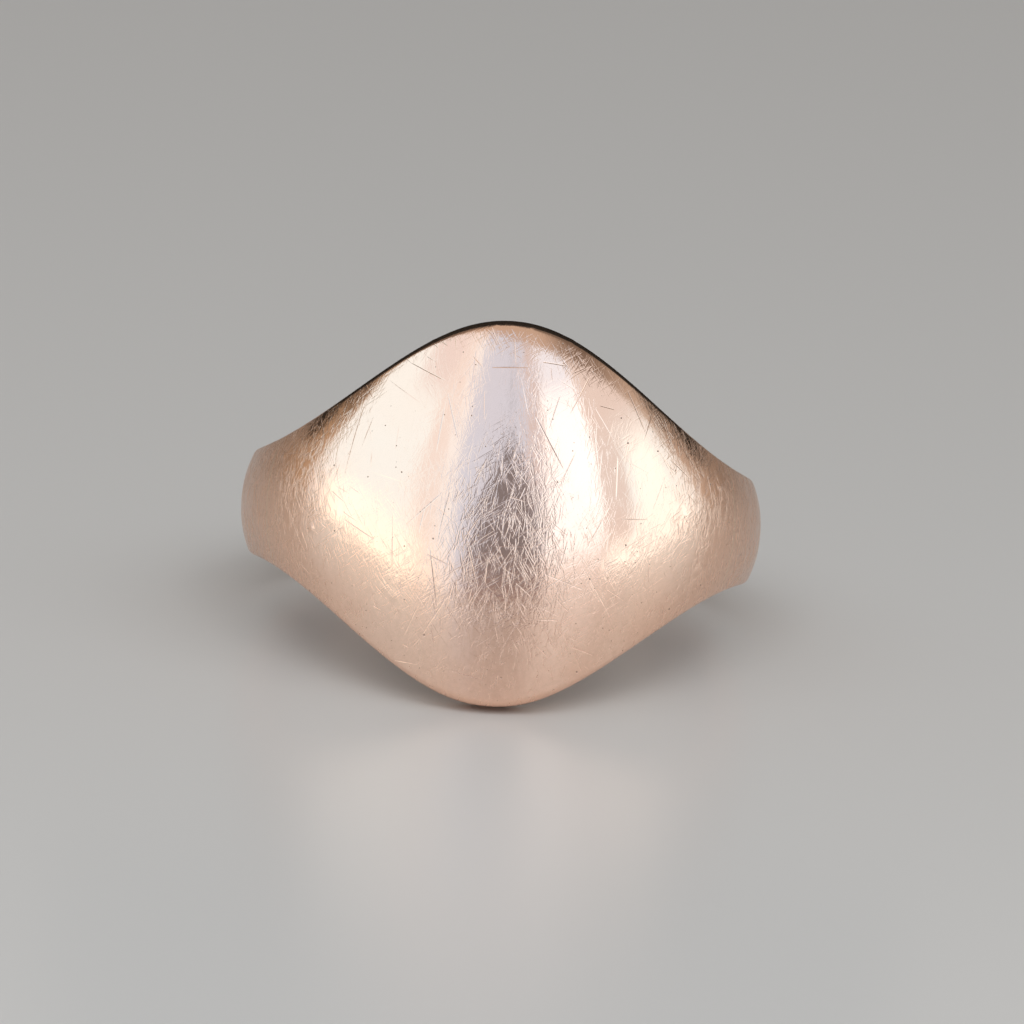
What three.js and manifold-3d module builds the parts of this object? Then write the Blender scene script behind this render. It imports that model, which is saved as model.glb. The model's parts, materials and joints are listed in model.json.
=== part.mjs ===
// A plain signet ring in rose gold, lying as a ring lies on a table.
// Millimetres, +Z up. The signet faces -Y and the back of the shank is towards +Y.
// The ring rests on two points: the inner edge of the signet's lower rim and the lower outer edge
// of the shank's back, so the finger axis leans back. The origin is on that table, under the middle.
import * as THREE from "three";
import { mergeVertices } from "three/addons/utils/BufferGeometryUtils.js";
import Module from "manifold-3d";

const wasm = await Module();
wasm.setup();

// ---- driving dimensions ----
const BORE_RADIUS = 8.65; // a finger hole of 17.3 mm

// The width is measured along the finger, so these are half of it.
const SIGNET_HALF_WIDTH = 7.2; // at the middle of the signet
const SIDE_HALF_WIDTH = 2.0; // at the sides of the finger
const BACK_HALF_WIDTH = 1.6; // from behind the sides to the back
const SHOULDER_SPREAD = THREE.MathUtils.degToRad(38); // how far round the shoulders run in
const SHOULDER_POWER = 2.1; // a little squarer than a bell curve

// The wall's thickness over the bore, at the crown of the section.
const SIGNET_THICKNESS = 2.65;
const SIDE_THICKNESS = 1.35;
const BACK_THICKNESS = 1.2;

// How far the outside falls from its crown to its edge, across the width.
const SIGNET_CROWN = 1.25;
const SHANK_CROWN = 0.45;
const CROWN_POWER = 2.2;

// The rounding of the outer edge, and of the inner edge that the finger passes.
const SIGNET_RIM_RADIUS = 0.45;
const SHANK_RIM_RADIUS = 0.28;
const INNER_EDGE_RADIUS = 0.15;

// The shank narrows between these two angles, measured round the finger from the signet's middle.
const TAPER_START = THREE.MathUtils.degToRad(75);
const TAPER_END = THREE.MathUtils.degToRad(130);

// The three soldered butt joints: one behind each shoulder and one at the back.
const SHOULDER_JOINT = THREE.MathUtils.degToRad(57);
const BACK_JOINT = Math.PI;
const SOLDER_THICKNESS = 0.08;

// Facets of the model.
const STEPS_ROUND = 80;
const CROWN_STEPS = 10;
const RIM_STEPS = 3;
const INNER_EDGE_STEPS = 2;

// ---- the hoop's shape ----
const signetShare = (angle) => Math.exp(-((angle / SHOULDER_SPREAD) ** SHOULDER_POWER));
const backShare = (angle) => THREE.MathUtils.smoothstep(angle, TAPER_START, TAPER_END);

function halfWidthAt(angle) {
  const signet = (SIGNET_HALF_WIDTH - SIDE_HALF_WIDTH) * signetShare(angle);
  const taper = (SIDE_HALF_WIDTH - BACK_HALF_WIDTH) * backShare(angle);
  return SIDE_HALF_WIDTH + signet - taper;
}

// The thickness holds level over the signet and falls away round the shoulders.
function thicknessAt(angle) {
  const share = angle < Math.PI / 2 ? 1 - Math.sin(angle) ** 3 : 0;
  const signet = (SIGNET_THICKNESS - SIDE_THICKNESS) * share;
  const taper = (SIDE_THICKNESS - BACK_THICKNESS) * backShare(angle);
  return SIDE_THICKNESS + signet - taper;
}

const crownAt = (angle) => THREE.MathUtils.lerp(SHANK_CROWN, SIGNET_CROWN, signetShare(angle));
const rimAt = (angle) =>
  THREE.MathUtils.lerp(SHANK_RIM_RADIUS, SIGNET_RIM_RADIUS, signetShare(angle));

// Points of a round edge: an arc of the given radius from one direction to another.
function arc(center, radius, from, to, steps) {
  return Array.from({ length: steps + 1 }, (_, i) => {
    const turn = THREE.MathUtils.lerp(from, to, i / steps);
    const spoke = new THREE.Vector2(Math.cos(turn), Math.sin(turn)).multiplyScalar(radius);
    return center.clone().add(spoke);
  });
}

// The upper half of the section at an angle, from the crown out over the rim and in to the bore.
// x is the distance from the finger axis and y runs along it.
function halfSection(angle) {
  const halfWidth = halfWidthAt(angle);
  const outside = BORE_RADIUS + thicknessAt(angle);
  const crown = crownAt(angle);
  const rim = rimAt(angle);
  const edgeShare = 1 - rim / 2 / halfWidth;
  const slope = Math.atan(((crown * CROWN_POWER) / halfWidth) * edgeShare ** (CROWN_POWER - 1));
  const rimStart = halfWidth - rim * (1 - Math.sin(slope));
  const fallAt = (height) => crown * (height / halfWidth) ** CROWN_POWER;
  const rimCenter = new THREE.Vector2(
    outside - fallAt(rimStart) - rim * Math.cos(slope),
    halfWidth - rim,
  );
  const edgeCenter = new THREE.Vector2(
    BORE_RADIUS + INNER_EDGE_RADIUS,
    halfWidth - INNER_EDGE_RADIUS,
  );
  const crownSide = Array.from({ length: CROWN_STEPS / 2 }, (_, i) => {
    const height = (rimStart * i) / (CROWN_STEPS / 2);
    return new THREE.Vector2(outside - fallAt(height), height);
  });
  return [
    ...crownSide,
    ...arc(rimCenter, rim, slope, Math.PI / 2, RIM_STEPS),
    ...arc(edgeCenter, INNER_EDGE_RADIUS, Math.PI / 2, Math.PI, INNER_EDGE_STEPS),
  ];
}

// The whole section, from the lower inner edge round the outside to the upper one, and closed.
function section(angle) {
  const upper = halfSection(angle);
  const lower = upper
    .slice(1)
    .reverse()
    .map((p) => new THREE.Vector2(p.x, -p.y));
  return [...lower, ...upper, lower[0].clone()];
}

// The hoop in one piece: a lathe turned round the finger axis, with each of its rings of points
// then set to the section at that ring's own angle.
function hoopGeometry() {
  const geometry = new THREE.LatheGeometry(section(0), STEPS_ROUND);
  const position = geometry.getAttribute("position");
  const sectionPoints = position.count / (STEPS_ROUND + 1);
  for (let ring = 0; ring <= STEPS_ROUND; ring++) {
    const turn = ((ring % STEPS_ROUND) / STEPS_ROUND) * 2 * Math.PI;
    const fromSignet = Math.min(turn, 2 * Math.PI - turn);
    section(fromSignet).forEach((p, i) => {
      const x = p.x * Math.sin(turn);
      const z = p.x * Math.cos(turn);
      position.setXYZ(ring * sectionPoints + i, x, p.y, z);
    });
  }
  return geometry.rotateX(Math.PI / 2);
}

// ---- solids in and out of manifold-3d ----
function toSolid(geometry) {
  geometry.deleteAttribute("normal");
  geometry.deleteAttribute("uv");
  const merged = mergeVertices(geometry, 1e-4);
  return new wasm.Manifold(
    new wasm.Mesh({
      numProp: 3,
      vertProperties: merged.getAttribute("position").array,
      triVerts: new Uint32Array(merged.index.array),
    }),
  );
}

function toGeometry(solid) {
  const mesh = solid.getMesh();
  const geometry = new THREE.BufferGeometry();
  geometry.setAttribute("position", new THREE.BufferAttribute(mesh.vertProperties, 3));
  geometry.setIndex(new THREE.BufferAttribute(mesh.triVerts, 1));
  geometry.computeVertexNormals();
  return geometry;
}

// ---- sawing the hoop at its joints ----
// A joint is a flat cut that holds the finger axis. These keep what lies on one side of the cut,
// moved by an offset, going round the finger from the signet's middle towards +X.
const directionPast = (angle) => [Math.cos(angle), Math.sin(angle), 0];
const keepPast = (solid, angle, offset) => solid.trimByPlane(directionPast(angle), offset);
const keepBefore = (solid, angle, offset) =>
  solid.trimByPlane(
    directionPast(angle).map((v) => -v),
    -offset,
  );

const hoop = toSolid(hoopGeometry());
const half = SOLDER_THICKNESS / 2;

// The signet with both shoulders, one forging between the two shoulder joints.
const signetHead = keepPast(keepBefore(hoop, SHOULDER_JOINT, -half), -SHOULDER_JOINT, half);

// The shank's two arms run from the shoulder joints to the joint at the back.
const shankRight = keepBefore(keepPast(hoop, SHOULDER_JOINT, half), BACK_JOINT, -half);
const shankLeft = keepPast(keepBefore(hoop, -SHOULDER_JOINT, -half), -BACK_JOINT, half);

// Each joint is filled by a wafer of solder: a slice of the hoop, on the joint's own side.
function solderWafer(angle) {
  const slice = keepBefore(keepPast(hoop, angle, -half), angle, half);
  const towardsJoint = [Math.sin(angle), -Math.cos(angle), 0];
  return slice.trimByPlane(towardsJoint, 0);
}

// ---- materials ----
const roseGold = () =>
  new THREE.MeshStandardMaterial({ color: "#d9a488", metalness: 1, roughness: 0.28 });
const shankGold = () =>
  new THREE.MeshStandardMaterial({ color: "#cf9c80", metalness: 1, roughness: 0.34 });
const goldSolder = () =>
  new THREE.MeshStandardMaterial({ color: "#dcc49a", metalness: 1, roughness: 0.4 });

function piece(name, solid, material) {
  const mesh = new THREE.Mesh(toGeometry(solid), material);
  mesh.name = name;
  return mesh;
}

// ---- the ring, with its finger axis upright ----
const ring = new THREE.Group();
ring.add(
  piece("signet_head", signetHead, roseGold()),
  piece("shank_right", shankRight, shankGold()),
  piece("shank_left", shankLeft, shankGold()),
  piece("solder_right_shoulder", solderWafer(SHOULDER_JOINT), goldSolder()),
  piece("solder_left_shoulder", solderWafer(-SHOULDER_JOINT), goldSolder()),
  piece("solder_back", solderWafer(BACK_JOINT), goldSolder()),
);

// ---- laid on the table ----
// The lean at which the lowest point in front and the lowest point behind are level: each pass
// finds both points at the present lean and adds the angle left between them.
function restingLean(solid) {
  const { vertProperties: points } = solid.getMesh();
  let lean = 0;
  for (let pass = 0; pass < 6; pass++) {
    const lowest = { front: { height: Infinity }, back: { height: Infinity } };
    for (let i = 0; i < points.length; i += 3) {
      const depth = points[i + 1] * Math.cos(lean) + points[i + 2] * Math.sin(lean);
      const height = points[i + 2] * Math.cos(lean) - points[i + 1] * Math.sin(lean);
      const end = depth < 0 ? "front" : "back";
      if (height < lowest[end].height) lowest[end] = { depth, height };
    }
    const rise = lowest.back.height - lowest.front.height;
    lean += Math.atan2(rise, lowest.back.depth - lowest.front.depth);
  }
  return lean;
}

ring.rotation.x = -restingLean(hoop);
const part = new THREE.Group();
part.name = "signet_ring";
part.add(ring);
part.updateMatrixWorld(true);
const bounds = new THREE.Box3().setFromObject(part, true);
ring.position.set(0, -(bounds.min.y + bounds.max.y) / 2, -bounds.min.z);

export default part;
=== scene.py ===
import json
import math

import bmesh
import bpy
from mathutils import Matrix, Vector, noise


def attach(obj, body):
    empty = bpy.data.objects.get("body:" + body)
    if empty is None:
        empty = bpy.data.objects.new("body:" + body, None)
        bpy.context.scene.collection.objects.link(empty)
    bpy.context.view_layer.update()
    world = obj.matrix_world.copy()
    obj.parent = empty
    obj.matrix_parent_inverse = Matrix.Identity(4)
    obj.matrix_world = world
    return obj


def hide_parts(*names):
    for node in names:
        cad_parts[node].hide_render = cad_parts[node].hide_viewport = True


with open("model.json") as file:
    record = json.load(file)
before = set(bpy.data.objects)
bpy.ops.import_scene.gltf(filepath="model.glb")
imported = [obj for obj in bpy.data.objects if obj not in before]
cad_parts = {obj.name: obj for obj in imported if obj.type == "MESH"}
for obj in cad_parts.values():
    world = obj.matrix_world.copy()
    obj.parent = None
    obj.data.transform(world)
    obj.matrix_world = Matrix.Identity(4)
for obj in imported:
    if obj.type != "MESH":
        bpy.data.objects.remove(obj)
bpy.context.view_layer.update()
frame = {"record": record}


# ---- signet head ----
# The domed signet with both its shoulders: one piece of 9 carat rose gold, struck, then filed to a
# soft lozenge and polished. Long wear has rounded its rim and left it dented and finely scratched.
MM = 0.001
BORE_RADIUS = 8.65
SIGNET_HALF_WIDTH = 7.2
SIDE_HALF_WIDTH = 2.0
BACK_HALF_WIDTH = 1.6
SHOULDER_SPREAD = math.radians(38)
SHOULDER_POWER = 2.1
SIGNET_THICKNESS = 2.65
SIDE_THICKNESS = 1.35
BACK_THICKNESS = 1.2
SIGNET_CROWN = 1.25
SHANK_CROWN = 0.45
CROWN_POWER = 2.2
SIGNET_RIM_RADIUS = 0.45
SHANK_RIM_RADIUS = 0.28
INNER_EDGE_RADIUS = 0.15
TAPER_START = math.radians(75)
TAPER_END = math.radians(130)
SHOULDER_JOINT = math.radians(57)
SOLDER_THICKNESS = 0.08
WALL_MIDDLE_RADIUS = 9.4
SOLDER_HALF_ANGLE = SOLDER_THICKNESS / 2 / WALL_MIDDLE_RADIUS
HEAD_STEPS = 280

# Steps of the section: over the crown, round the rim, down the wall, round the edge, down the bore.
CROWN_STEPS = 72
RIM_STEPS = 12
WALL_STEPS = 8
EDGE_STEPS = 5
BORE_STEPS = 24
OUTER_POINTS = CROWN_STEPS + RIM_STEPS + WALL_STEPS

# The record says where the finger's axis lies: the ring is shaped upright, then laid along it.
bore = next(m for m in frame["record"]["mounts"] if m["name"] == "finger_bore")
bore_middle = Vector(bore["pos_m"])
finger_axis = Vector(bore["axis"]).normalized()
to_right = Vector((1, 0, 0))
to_back = finger_axis.cross(to_right)
laid_down = Matrix((to_right, to_back, finger_axis)).transposed().to_4x4()
ring_place = Matrix.Translation(bore_middle) @ laid_down @ Matrix.Scale(MM, 4)


def eased(value, low, high):
    share = min(max((value - low) / (high - low), 0), 1)
    return share * share * (3 - 2 * share)


def between(low, high, share):
    return low + (high - low) * share


def half_section(angle):
    """Half of the ring's outline where it is cut at an angle from the signet's middle, as points
    of (radius, height): from the crown over the rim, in along the wall and down to the bore."""
    turn = abs(angle)
    signet = math.exp(-((turn / SHOULDER_SPREAD) ** SHOULDER_POWER))
    behind = eased(turn, TAPER_START, TAPER_END)
    swell = 1 - math.sin(turn) ** 3 if turn < math.pi / 2 else 0
    half_width = between(SIDE_HALF_WIDTH, SIGNET_HALF_WIDTH, signet)
    half_width -= (SIDE_HALF_WIDTH - BACK_HALF_WIDTH) * behind
    outside = BORE_RADIUS + between(SIDE_THICKNESS, SIGNET_THICKNESS, swell)
    outside -= (SIDE_THICKNESS - BACK_THICKNESS) * behind
    crown = between(SHANK_CROWN, SIGNET_CROWN, signet)
    rim = between(SHANK_RIM_RADIUS, SIGNET_RIM_RADIUS, signet)
    edge = INNER_EDGE_RADIUS

    near_rim = 1 - rim / 2 / half_width
    slope = math.atan(crown * CROWN_POWER / half_width * near_rim ** (CROWN_POWER - 1))
    rim_start = half_width - rim * (1 - math.sin(slope))
    crown_heights = [rim_start * i / CROWN_STEPS for i in range(CROWN_STEPS)]
    points = [(outside - crown * (h / half_width) ** CROWN_POWER, h) for h in crown_heights]
    rim_radius = outside - crown * (rim_start / half_width) ** CROWN_POWER - rim * math.cos(slope)
    for i in range(RIM_STEPS + 1):
        tilt = between(slope, math.pi / 2, i / RIM_STEPS)
        points.append((rim_radius + rim * math.cos(tilt), half_width - rim + rim * math.sin(tilt)))
    for i in range(1, WALL_STEPS):
        points.append((between(rim_radius, BORE_RADIUS + edge, i / WALL_STEPS), half_width))
    for i in range(EDGE_STEPS + 1):
        tilt = between(math.pi / 2, math.pi, i / EDGE_STEPS)
        radius = BORE_RADIUS + edge + edge * math.cos(tilt)
        points.append((radius, half_width - edge + edge * math.sin(tilt)))
    for i in range(1, BORE_STEPS + 1):
        points.append((BORE_RADIUS, (half_width - edge) * (1 - i / BORE_STEPS)))
    return points


def at_angle(radius, height, angle):
    return Vector((radius * math.sin(angle), -radius * math.cos(angle), height))


def unevenness(point):
    """How far hand filing and wear leave the outside off its true curve, in millimetres."""
    wave_height, wave_scale, wave_shift = 0.014, 0.22, Vector((3.1, 0, 7.7))
    ripple_height, ripple_scale = 0.003, 0.9
    waves = wave_height * noise.noise(point * wave_scale + wave_shift)
    return waves + ripple_height * noise.noise(point * ripple_scale)


def swept(name, start, end, steps, dents=()):
    """A stretch of the ring: its section spun round the finger from one angle to another, each ring
    of points then set to the section at its own angle, and both ends closed flat for soldering.
    Each dent is (angle in degrees, height, radius, depth)."""
    bm = bmesh.new()
    number = bm.verts.layers.int.new("number")
    first = half_section(start)
    last = len(first) - 1
    outline = []
    for i in list(range(last + 1)) + list(range(-last + 1, 0)):
        radius, height = first[abs(i)]
        point = bm.verts.new(at_angle(radius, math.copysign(height, i), start))
        point[number] = i
        outline.append(point)
    edges = [bm.edges.new(pair) for pair in zip(outline, outline[1:] + outline[:1])]
    bmesh.ops.spin(bm, geom=outline + edges, axis=(0, 0, 1), angle=end - start, steps=steps)

    # Each ring of points gets its own section, and a map of the surface in millimetres: how far
    # round the finger, and how far over from the crown.
    surface = bm.loops.layers.uv.new("surface")
    sections, reaches = {}, {}
    step_angle = (end - start) / steps
    step_of = {}
    for vertex in bm.verts:
        angle = math.atan2(vertex.co.x, -vertex.co.y)
        angle = start + (angle - start) % (2 * math.pi) if angle < start - 1e-4 else angle
        step = round((angle - start) / step_angle)
        step_of[vertex] = step
        if step not in sections:
            sections[step] = half_section(start + step * step_angle)
            reach = [0]
            for (r0, h0), (r1, h1) in zip(sections[step], sections[step][1:]):
                reach.append(reach[-1] + math.hypot(r1 - r0, h1 - h0))
            reaches[step] = reach
        radius, height = sections[step][abs(vertex[number])]
        height = math.copysign(height, vertex[number])
        vertex.co = at_angle(radius, height, start + step * step_angle)
    for face in bm.faces:
        side = math.copysign(1, face.calc_center_median().z)
        for loop in face.loops:
            step = step_of[loop.vert]
            around = (start + step * step_angle) * (BORE_RADIUS + SIDE_THICKNESS)
            loop[surface].uv = (around, side * reaches[step][abs(loop.vert[number])])
    bm.normal_update()
    for vertex in bm.verts:
        if abs(vertex[number]) < OUTER_POINTS:
            push = unevenness(vertex.co)
            for degrees, height, radius, depth in dents:
                middle = at_angle(vertex.co.xy.length, height, math.radians(degrees))
                apart = (vertex.co - middle).length / radius
                push -= depth * math.exp(-(apart ** 2)) if apart < 3 else 0
            vertex.co += vertex.normal * push
    ends = [edge for edge in bm.edges if edge.is_boundary]
    for edge in ends:
        edge.smooth = False
    bmesh.ops.holes_fill(bm, edges=ends, sides=0)
    bmesh.ops.transform(bm, matrix=ring_place, verts=bm.verts)
    bmesh.ops.recalc_face_normals(bm, faces=bm.faces)
    for face in bm.faces:
        face.smooth = len(face.verts) == 4
    mesh = bpy.data.meshes.new(name)
    bm.to_mesh(mesh)
    bm.free()
    piece = bpy.data.objects.new(name, mesh)
    bpy.context.scene.collection.objects.link(piece)
    return piece


class Wire:
    """An output of a node, so that sums written on it add Math nodes."""

    def __init__(self, graph, socket):
        self.graph = graph
        self.socket = socket

    def maths(self, operation, *others):
        values = dict(enumerate((self, *others)))
        return self.graph.node("ShaderNodeMath", {"operation": operation}, values)

    def __add__(self, other):
        return self.maths("ADD", other)

    def __sub__(self, other):
        return self.maths("SUBTRACT", other)

    def __mul__(self, other):
        return self.maths("MULTIPLY", other)

    def __truediv__(self, other):
        return self.maths("DIVIDE", other)

    def __rsub__(self, other):
        settings = {"operation": "SUBTRACT"}
        return self.graph.node("ShaderNodeMath", settings, {0: other, 1: self})

    def __abs__(self):
        return self.maths("ABSOLUTE")

    __radd__ = __add__
    __rmul__ = __mul__

    def at_least(self, other):
        return self.maths("MAXIMUM", other)

    def vector(self, operation, other):
        settings = {"operation": operation}
        return self.graph.node("ShaderNodeVectorMath", settings, {0: self, 1: other})

    def sibling(self, output):
        return Wire(self.graph, self.socket.node.outputs[output])

    def parts(self):
        split = self.graph.node("ShaderNodeSeparateXYZ", {}, {0: self})
        return split, split.sibling(1), split.sibling(2)

    def eased(self, low, high):
        """0 where the wire is at low, 1 where it is at high, and smooth between."""
        settings = {"interpolation_type": "SMOOTHSTEP"}
        return self.graph.node("ShaderNodeMapRange", settings, {0: self, 1: low, 2: high})


class Graph:
    """The node tree of a material or of the world."""

    def __init__(self, owner):
        owner.use_nodes = True
        self.tree = owner.node_tree

    def node(self, kind, settings, sockets, output=0):
        made = self.tree.nodes.new(kind)
        for setting, value in settings.items():
            setattr(made, setting, value)
        for socket, value in sockets.items():
            self.put(made, socket, value)
        return Wire(self, made.outputs[output])

    def put(self, node, socket, value):
        if isinstance(value, Wire):
            self.tree.links.new(value.socket, node.inputs[socket])
        else:
            node.inputs[socket].default_value = value

    def mixed(self, share, low, high):
        settings = {"data_type": "RGBA"}
        return self.node("ShaderNodeMix", settings, {0: share, 6: low, 7: high}, output=2)

    def clouds(self, place, scale, detail=2.0, roughness=0.5):
        sockets = {"Vector": place, "Scale": scale, "Detail": detail, "Roughness": roughness}
        return self.node("ShaderNodeTexNoise", {}, sockets)


def scratches(graph, place, across, along, width, heading, spread, shift):
    """Straight scratches, one in each cell of a stretched pattern: 0 on bare metal, 1 in a groove.
    across and along are the spacing and width the half width, in millimetres; heading is how far
    they lean from along the finger and spread how far they differ from each other, in degrees."""
    turn = {"Vector": place, "Location": shift, "Rotation": (0, 0, math.radians(heading))}
    turned = graph.node("ShaderNodeMapping", {"vector_type": "POINT"}, turn)
    cells = turned.vector("MULTIPLY", (1 / across, 1 / along, 0))
    voronoi = {"voronoi_dimensions": "2D", "feature": "F1"}
    chance = graph.node("ShaderNodeTexVoronoi", voronoi, {"Vector": cells, "Scale": 1.0}, "Color")
    middle = chance.sibling("Position")
    offset = cells.vector("SUBTRACT", middle).vector("MULTIPLY", (across, along, 0))
    lean, reach, depth = chance.parts()
    x, y, _ = offset.parts()
    lean = (lean - 0.5) * math.radians(spread)
    cosine, sine = lean.maths("COSINE"), lean.maths("SINE")
    aside = abs(x * cosine - y * sine)
    onward = abs(x * sine + y * cosine)
    groove = (1 - aside / width).at_least(0)
    taper = (1 - onward / (reach * (0.4 * along) + 0.12 * along)).at_least(0)
    return groove * taper.maths("POWER", 0.5) * (depth * depth * 0.9 + 0.15)


def hairlines(graph, place, heading, shift):
    """Fine hairlines about a tenth of a millimetre apart that come and go: 1 in a groove."""
    turn = {"Vector": place, "Location": shift, "Rotation": (0, 0, math.radians(heading))}
    turned = graph.node("ShaderNodeMapping", {"vector_type": "POINT"}, turn)
    per_millimetre, present_per_millimetre, half_width = (6.5, 0.55, 0), (4.1, 1.1, 0), 0.055
    weave = graph.clouds(turned.vector("MULTIPLY", per_millimetre), 1.0, 1.0)
    present = graph.clouds(turned.vector("MULTIPLY", present_per_millimetre), 1.0, 1.0)
    return (1 - abs(weave - 0.5) / half_width).at_least(0) * present.eased(0.46, 0.62)


def one_scratch(graph, place, around, over, heading, length, width):
    """A single scratch, by its middle on the surface, heading in degrees, length and half width."""
    x, y, _ = place.vector("SUBTRACT", (around, over, 0)).parts()
    cosine, sine = math.cos(math.radians(heading)), math.sin(math.radians(heading))
    aside = abs(x * cosine - y * sine)
    onward = abs(x * sine + y * cosine)
    taper = (1 - onward / (length / 2)).at_least(0).maths("POWER", 0.4)
    return (1 - aside / width).at_least(0) * taper


def pits(graph, place, apart, radius, share, shift):
    """Small round pits in some of the cells of a pattern: 1 in the middle of a pit."""
    moved = place.vector("ADD", shift).vector("MULTIPLY", (1 / apart, 1 / apart, 0))
    voronoi = {"voronoi_dimensions": "2D", "feature": "F1"}
    apart_cells = {"Vector": moved, "Scale": 1.0}
    away = graph.node("ShaderNodeTexVoronoi", voronoi, apart_cells, "Distance")
    chance, size, _ = away.sibling("Color").parts()
    hollow = 1 - away / ((size * 0.7 + 0.3) * (radius / apart))
    return hollow.eased(0, 0.8) * chance.eased(1 - share, 1 - share + 0.01)


def worn_gold(name, colour, rubbed_shaded_colour, shaded_side_colour, knocks=()):
    """Rose gold, polished once and then worn: fine scratches mostly along the finger, some longer
    ones, pits, hazy patches and slight orange peel. Where it is rubbed it has a deeper colour,
    partly painted shade, and off the signet the darker side colour, which is painted shade."""
    material = bpy.data.materials.new(name)
    graph = Graph(material)
    surface = graph.node("ShaderNodeUVMap", {"uv_map": "surface"}, {})
    solid = graph.node("ShaderNodeTexCoord", {}, {}, "Object")
    around, over, _ = surface.parts()

    # The rubbed places, where the deeper colour is partly painted shade: the lower half of the
    # signet, the shoulders and all of the shank.
    shoulders = abs(around).eased(4.0, 9.0)
    behind = abs(around).eased(6.5, 14.0)
    below = (0 - over).eased(-1.5, 4.5)
    rubbed_and_shaded = below.at_least(shoulders)
    patches = graph.clouds(surface, 0.55, 2.0, 0.5).eased(0.3, 0.7)

    fine = hairlines(graph, surface, 2, (0, 0, 0))
    for number, heading in enumerate((-30, -14, 13, 28, 54)):
        fine = fine + hairlines(graph, surface, heading, (5.3 + number * 3.7, 1.7, 0))
    short = scratches(graph, surface, 0.30, 1.00, 0.018, 5, 30, (0, 0, 0))
    short = short + scratches(graph, surface, 0.38, 1.10, 0.018, -38, 60, (5.3, 9.0, 0))
    crown = abs(around - 0.4).eased(2.4, 0.7) * abs(over + 1.0).eased(4.6, 2.2)
    worn = crown * 0.45 + below * 0.4 + shoulders * 0.85 + patches * 0.32 + 0.12
    fine = (fine * 0.55 + short) * worn
    long = scratches(graph, surface, 0.70, 2.3, 0.021, 8, 44, (2.9, 6.1, 0))
    long = long + scratches(graph, surface, 1.20, 2.2, 0.023, -50, 90, (9.1, 2.3, 0))
    for knock in knocks:
        long = long + one_scratch(graph, surface, *knock)
    pocks = pits(graph, surface, 1.3, 0.055, 0.35, (3.3, 1.9, 0))
    pocks = pocks + pits(graph, surface, 0.5, 0.03, 0.25, (8.1, 6.4, 0))

    peel = graph.clouds(solid, 2600.0, 3.0, 0.6)
    grain = graph.clouds(solid, 11000.0, 2.0, 0.6)
    strokes = graph.clouds(surface.vector("MULTIPLY", (3.4, 0.8, 1)), 1.0, 3.0, 0.6)
    height = peel * 0.0018 + grain * (rubbed_and_shaded * 0.0036 + 0.0003)
    height = height + strokes * (rubbed_and_shaded * 0.0075 + 0.0015)
    hairline_depth, scratch_depth, pit_depth = 0.0062, 0.0066, 0.012
    height = height - fine * hairline_depth - long * scratch_depth - pocks * pit_depth
    bump = {"Height": height, "Distance": MM, "Strength": 1.0}
    normal = graph.node("ShaderNodeBump", {}, bump)

    haze = graph.clouds(solid, 380.0, 4.0, 0.6).eased(0.3, 0.75)
    polished, groove = 0.07, 0.20
    rough = haze * 0.04 + rubbed_and_shaded * 0.06 + behind * 0.024
    rough = rough + fine * groove + long * groove + polished
    shade = graph.clouds(solid, 170.0, 3.0, 0.5).eased(0.3, 0.7)
    # Deeper, darker gold where rubbed: part wear, part painted shade. Behind the shoulders the
    # darker, browner side colour is painted shade.
    tone = graph.mixed(shade * 0.4 + rubbed_and_shaded * 0.7, (*colour, 1), (*rubbed_shaded_colour, 1))
    tone = graph.mixed(behind, tone, (*shaded_side_colour, 1))
    stain = graph.clouds(solid, 5200.0, 3.0, 0.65).eased(0.35, 0.75) * (rubbed_and_shaded * 0.10 + 0.02)
    grime, dirt_in_pits = (0.45, 0.28, 0.20, 1), (0.10, 0.06, 0.04, 1)
    tone = graph.mixed(stain, tone, grime)
    tone = graph.mixed(pocks * 0.75, tone, dirt_in_pits)
    shader = graph.tree.nodes["Principled BSDF"]
    graph.put(shader, "Base Color", tone)
    graph.put(shader, "Roughness", rough)
    graph.put(shader, "Normal", normal)
    shader.inputs["Metallic"].default_value = 1
    return material


# Each knock, in millimetres on the surface: how far round and over its middle lies, how many
# degrees it leans from along the finger, its length and its half width.
head_knocks = (
    (-2.55, 0.0, 43, 1.75, 0.030), (-5.45, 2.4, 8, 2.8, 0.028), (1.50, 2.7, -28, 2.2, 0.030),
    (-2.10, -2.6, -8, 2.6, 0.030), (3.27, -5.0, -72, 1.0, 0.040), (2.60, -5.8, 12, 0.6, 0.034),
)

# Each dent: degrees round from the signet's middle, millimetres up the finger, radius, depth.
head_dents = (
    (-20.5, -3.3, 0.16, 0.010), (-18.9, -3.8, 0.13, 0.008), (-22.3, -3.0, 0.12, 0.008),
    (-19.6, -2.8, 0.10, 0.006), (-40.0, -1.0, 0.10, 0.018), (15.5, -5.6, 0.12, 0.008),
    (51.0, 1.55, 0.13, 0.022), (-52.5, 1.75, 0.13, 0.020), (-3.5, 7.02, 0.09, 0.016),
    (4.5, 7.00, 0.08, 0.014), (13.0, 6.62, 0.09, 0.016), (-17.0, 6.30, 0.08, 0.012),
)

# The gold on the signet's crown; a deeper gold where the signet is rubbed, partly painted
# shade; and a darker, browner gold behind the shoulders, which is painted shade.
rose_golds = ((0.94, 0.70, 0.565), (0.98, 0.64, 0.48), (0.885, 0.58, 0.43))
head_gold = worn_gold("head_gold", *rose_golds, head_knocks)
joint, gap = SHOULDER_JOINT, SOLDER_HALF_ANGLE
head = swept("worn_signet_head", -joint + gap, joint - gap, HEAD_STEPS, head_dents)
head.data.materials.append(head_gold)
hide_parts("signet_head")
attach(head, "root")

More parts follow.
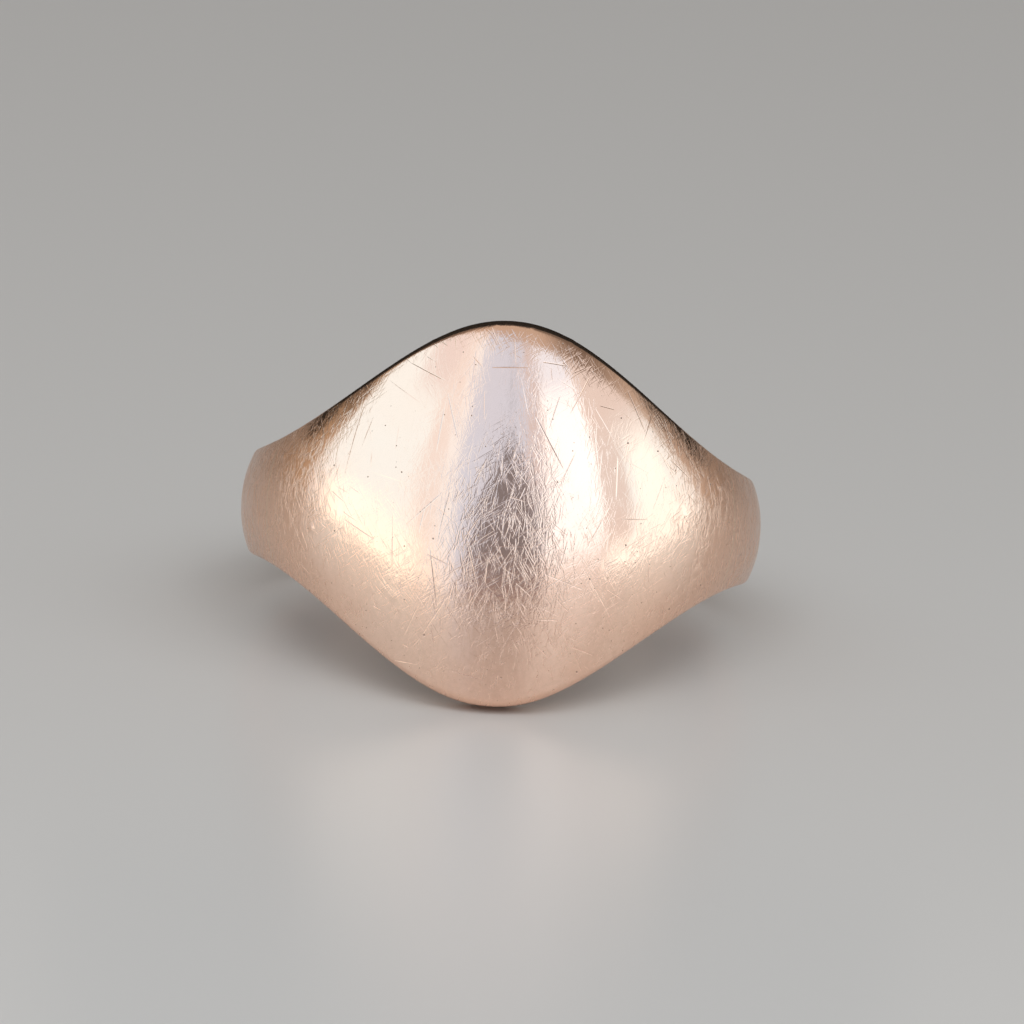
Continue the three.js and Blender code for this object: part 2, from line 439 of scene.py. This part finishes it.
# ---- shank ----
# Two arms of D-section rose gold wire, flat inside and domed outside, bent round the finger and
# butted behind the shoulders. They rub on the next fingers, so they are duller than the signet.
# Their darker, browner gold is painted shade.
ARM_STEPS = 180
shank_gold = worn_gold("shank_gold", *rose_golds)
right_arm = swept("shank_right_arm", joint + gap, math.pi - gap, ARM_STEPS)
left_arm = swept("shank_left_arm", -math.pi + gap, -joint - gap, ARM_STEPS)
for arm, node in ((right_arm, "shank_right"), (left_arm, "shank_left")):
    arm.data.materials.append(shank_gold)
    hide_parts(node)
    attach(arm, "root")

# ---- solder ----
# Three films of gold solder, run into the butt joints and filed flush: one behind each shoulder and
# one where the arms meet at the back. Solder is a little paler and yellower than the ring.
SEAM_STEPS = 2
# Its crown colour, a deeper colour where rubbed that is partly painted shade, and a darker side
# colour that is painted shade.
solder_golds = ((0.95, 0.73, 0.56), (0.95, 0.68, 0.50), (0.90, 0.64, 0.47))
solder_gold = worn_gold("solder_gold", *solder_golds)
for where, angle in (("right_shoulder", joint), ("left_shoulder", -joint), ("back", math.pi)):
    seam = swept("solder_seam_" + where, angle - gap, angle + gap, SEAM_STEPS)
    seam.data.materials.append(solder_gold)
    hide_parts("solder_" + where)
    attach(seam, "root")

# ---- floor, studio light and camera ----
# A plain pale table, lit softly from the front and both sides. The gold mirrors a room around it
# and a black card over the finger hole. The camera is close by and looks straight at the signet.
# The card is in metres, the camera's turns in degrees and its shifts in millimetres.
TABLE_HALF_SIZE = 1.2
TABLE_COLOUR = (0.655, 0.653, 0.645, 1)
TABLE_ROUGHNESS = 0.28
TABLE_LIGHT = (0.40, 0.40, 0.40, 1)
CARD_HALF_WIDTH = 0.0165
CARD_HALF_HEIGHT = 0.018
CARD_FROM_BORE = Vector((0, -0.002, 0.024))
CAMERA_DISTANCE = 0.33
CAMERA_LENS = 302
CAMERA_SENSOR = 36
CAMERA_BELOW_SQUARE = 0.67
CAMERA_ROLL = 3.5
CAMERA_ASIDE = 0.43
CAMERA_RAISED = 0.18


def sheet_of(name, half_width, half_height, place, material):
    bm = bmesh.new()
    bmesh.ops.create_grid(bm, x_segments=1, y_segments=1, size=1)
    bmesh.ops.scale(bm, vec=(half_width, half_height, 1), verts=bm.verts)
    bmesh.ops.transform(bm, matrix=place, verts=bm.verts)
    mesh = bpy.data.meshes.new(name)
    bm.to_mesh(mesh)
    bm.free()
    mesh.materials.append(material)
    made = bpy.data.objects.new(name, mesh)
    bpy.context.scene.collection.objects.link(made)
    return made


table = bpy.data.materials.new("pale_table")
table_shader = Graph(table).tree.nodes["Principled BSDF"]
table_shader.inputs["Base Color"].default_value = TABLE_COLOUR
table_shader.inputs["Roughness"].default_value = TABLE_ROUGHNESS
sheet_of("table", TABLE_HALF_SIZE, TABLE_HALF_SIZE, Matrix.Identity(4), table)


def direction(azimuth, elevation):
    """The way from the ring to something seen at these angles: 0, 0 is level and in front."""
    a, e = math.radians(azimuth), math.radians(elevation)
    return Vector((math.sin(a) * math.cos(e), -math.cos(a) * math.cos(e), math.sin(e)))


def facing_ring(azimuth, elevation, distance):
    way = direction(azimuth, elevation)
    turn = way.to_track_quat("Z", "Y").to_matrix().to_4x4()
    return Matrix.Translation(bore_middle + way * distance) @ turn


def soft_light(name, azimuth, elevation, distance, size, power):
    light = bpy.data.lights.new(name, "AREA")
    light.size = size
    light.energy = power
    lamp = bpy.data.objects.new(name, light)
    lamp.matrix_world = facing_ring(azimuth, elevation, distance)
    lamp.visible_camera = False
    lamp.visible_glossy = False
    bpy.context.scene.collection.objects.link(lamp)


soft_light("soft_front", 0, 47, 0.26, 0.20, 0.27)
soft_light("soft_left", -55, 50, 0.45, 0.30, 0.12)
soft_light("soft_right", 50, 45, 0.45, 0.30, 0.30)

# The room, as polished gold sees it: tall soft windows in front with darker gaps between them, a
# dark figure in the middle, brown walls at the sides and shade above and behind. Angles are in
# degrees from straight in front and from level. An even pale grey is what lights the table.
room = bpy.data.worlds.new("room")
bpy.context.scene.world = room
graph = Graph(room)
way = graph.node("ShaderNodeTexCoord", {}, {}, "Generated")
east, north, up = way.parts()
azimuth = east.maths("ARCTAN2", 0 - north) * (180 / math.pi)
elevation = up.maths("ARCSINE") * (180 / math.pi)


def window(azimuths, elevations, soft_sides, soft_ends):
    """1 inside these angles, in degrees, fading to 0 across soft edges centred on them."""
    half = (azimuths[1] - azimuths[0]) / 2
    aside = abs(azimuth - (azimuths[0] + half))
    across = aside.eased(half + soft_sides / 2, half - soft_sides / 2)
    foot = elevation.eased(elevations[0] - soft_ends / 2, elevations[0] + soft_ends / 2)
    top = elevation.eased(elevations[1] + soft_ends / 2, elevations[1] - soft_ends / 2)
    return across * foot * top


def hung(seen, share, glow):
    return graph.mixed(share, seen, (*glow, 1))


turned_away = abs(azimuth).eased(100, 138)
side = graph.mixed(azimuth.eased(-60, 60), (0.50, 0.385, 0.26, 1), (0.58, 0.51, 0.44, 1))
walls = graph.mixed(turned_away, side, (0.27, 0.235, 0.20, 1))
overhead = abs(azimuth + 5).eased(30, 70)
overhead = graph.mixed(overhead, (0.60, 0.50, 0.42, 1), (0.20, 0.16, 0.13, 1))
seen = graph.mixed(elevation.eased(26, 50), walls, overhead)
beside = abs(azimuth).eased(96, 106) * abs(azimuth).eased(177, 155)
seen = hung(seen, beside * elevation.eased(15, 26), (0.07, 0.065, 0.06))
leaning = elevation + azimuth * 0.08
arch = abs((azimuth - 3) / 103).maths("POWER", 2.4) + abs(leaning / 56).maths("POWER", 2.4)
pale = graph.mixed(azimuth.eased(-30, 30), (1.00, 1.07, 1.14, 1), (0.87, 0.89, 0.93, 1))

# Each pane: its azimuths, its elevations, how soft its sides and its ends are, its glow.
panes = (
    ((-90, -24), (-30, 9), 8, 14, (1.25, 1.27, 1.24)),
    ((-86, -39), (-30, 13), 8, 12, (1.62, 1.70, 1.62)),
    ((-99, -39), (9, 46), 5, 10, (1.05, 1.32, 1.48)),
    ((-66, -38), (40, 70), 4, 10, (0.93, 0.98, 1.07)),
    ((-28, -20), (2, 60), 3, 12, (1.06, 1.24, 1.38)),
    ((-20, 18.5), (2, 90), 2.5, 12, (0.74, 0.93, 1.22)),
    ((20, 46), (7, 47), 3, 12, (1.35, 1.62, 1.85)),
    ((20, 45), (42, 70), 3, 10, (0.98, 1.20, 1.48)),
    ((61, 110), (-30, 27), 5, 16, (1.08, 1.33, 1.48)),
    ((48, 98), (-30, 5), 8, 10, (1.55, 1.78, 1.84)),
    ((67, 86), (-10, 25), 5, 10, (1.40, 1.55, 1.60)),
    ((11, 17.5), (20, 90), 2, 8, (0.76, 0.78, 0.86)),
)
for azimuths, elevations, soft_sides, soft_ends, glow in panes:
    pale = hung(pale, window(azimuths, elevations, soft_sides, soft_ends), glow)
figure_half = (16.5 - elevation * 0.2) * elevation.eased(38, 14)
figure = (abs(azimuth - 3.0) - figure_half).eased(2.0, -2.0)
shadow = graph.mixed(elevation.eased(-4, 12), (0.42, 0.36, 0.36, 1), (0.24, 0.25, 0.29, 1))
pale = graph.mixed(figure, pale, shadow)
seen = graph.mixed(arch.eased(1.04, 0.96) * north.eased(0.35, 0.25), seen, pale)
glossy = graph.node("ShaderNodeLightPath", {}, {}, "Is Glossy Ray")
light = graph.mixed(glossy, TABLE_LIGHT, seen)
graph.put(graph.tree.nodes["Background"], "Color", light)

# A black card stands over the finger hole, where only the upper rim of the signet mirrors it.
black = bpy.data.materials.new("black_card")
black_shader = Graph(black).tree.nodes["Principled BSDF"]
black_shader.inputs["Base Color"].default_value = (0.03, 0.028, 0.025, 1)
black_shader.inputs["Roughness"].default_value = 1
black_shader.inputs["Specular IOR Level"].default_value = 0
upright = Matrix.Rotation(math.radians(90), 4, "X")
card_place = Matrix.Translation(bore_middle + CARD_FROM_BORE) @ upright
card = sheet_of("black_card", CARD_HALF_WIDTH, CARD_HALF_HEIGHT, card_place, black)
card.visible_camera = False
card.visible_diffuse = False
card.visible_shadow = False

camera_data = bpy.data.cameras.new("camera")
camera_data.lens = CAMERA_LENS
camera_data.sensor_width = CAMERA_SENSOR
camera_data.clip_start = 0.01
camera_data.clip_end = 10
camera = bpy.data.objects.new("camera", camera_data)
bpy.context.scene.collection.objects.link(camera)
bpy.context.scene.camera = camera
lean = math.degrees(math.atan2(finger_axis.y, finger_axis.z))
roll = Matrix.Rotation(math.radians(CAMERA_ROLL), 4, "Z")
look = facing_ring(0, lean - CAMERA_BELOW_SQUARE, CAMERA_DISTANCE) @ roll
camera.matrix_world = look @ Matrix.Translation((CAMERA_ASIDE * MM, CAMERA_RAISED * MM, 0))

bpy.context.scene.view_settings.view_transform = "Standard"
